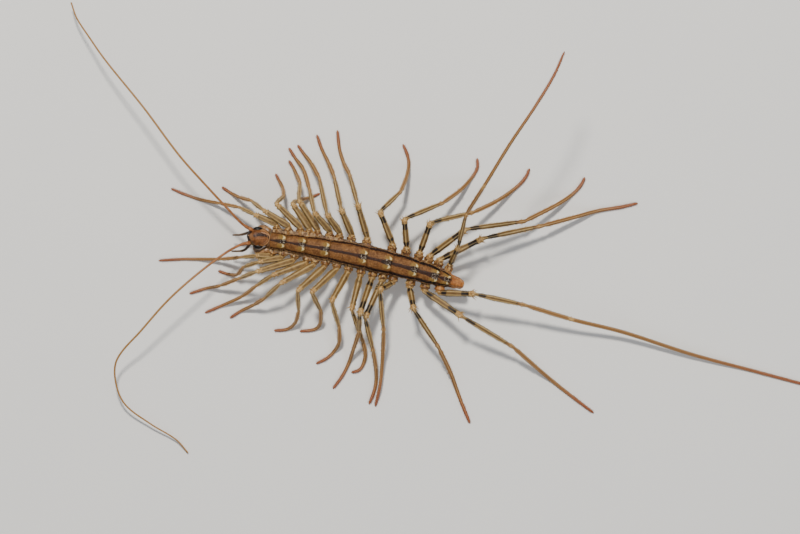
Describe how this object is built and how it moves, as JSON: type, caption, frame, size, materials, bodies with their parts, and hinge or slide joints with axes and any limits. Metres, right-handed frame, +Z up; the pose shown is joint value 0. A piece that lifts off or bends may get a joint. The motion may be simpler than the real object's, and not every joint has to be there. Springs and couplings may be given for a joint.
{
  "type": "house centipede",
  "caption": "Still life-size model of a house centipede on spread legs, with long feelers, a plated striped back and trailing hind legs.",
  "frame": {"origin": "on the floor, under the middle of the model's outline seen from above", "axes": "+Z up from the floor, +X from the head towards the tail and the long hind leg, +Y towards the animal's right side"},
  "size_m": [0.1054, 0.0612, 0.0219],
  "materials": {
    "plates": "satin brown back plates with dark stripes",
    "tail": "satin orange",
    "legs": "satin straw with dark bands",
    "feelers": "matt orange brown",
    "mouth": "satin brown",
    "eyes": "glossy black"
  },
  "bodies": {
    "root": {"head": "plates", "eye_r": "eyes", "eye_l": "eyes", "antenna_r_base": "feelers", "antenna_r_tip": "feelers", "antenna_l_base": "feelers", "antenna_l_tip": "feelers", "palp_r": "mouth", "palp_l": "mouth", "forcipule_r": "mouth", "forcipule_l": "mouth", "trunk_1": "plates", "trunk_2": "plates", "trunk_3": "plates", "trunk_4": "plates", "trunk_5": "plates", "trunk_6": "plates", "trunk_7": "plates", "trunk_8": "plates", "tail": "tail", "leg_r01": "legs", "leg_r02": "legs", "leg_r03": "legs", "leg_r04": "legs", "leg_r05": "legs", "leg_r06": "legs", "leg_r07": "legs", "leg_r08": "legs", "leg_r09": "legs", "leg_r10": "legs", "leg_r11": "legs", "leg_r12": "legs", "leg_r13": "legs", "leg_r14": "legs", "leg_r15": "legs", "leg_l01": "legs", "leg_l02": "legs", "leg_l03": "legs", "leg_l04": "legs", "leg_l05": "legs", "leg_l06": "legs", "leg_l07": "legs", "leg_l08": "legs", "leg_l09": "legs", "leg_l10": "legs", "leg_l11": "legs", "leg_l12": "legs", "leg_l13": "legs", "leg_l14": "legs", "leg_l15": "legs"}
  },
  "joints": []
}
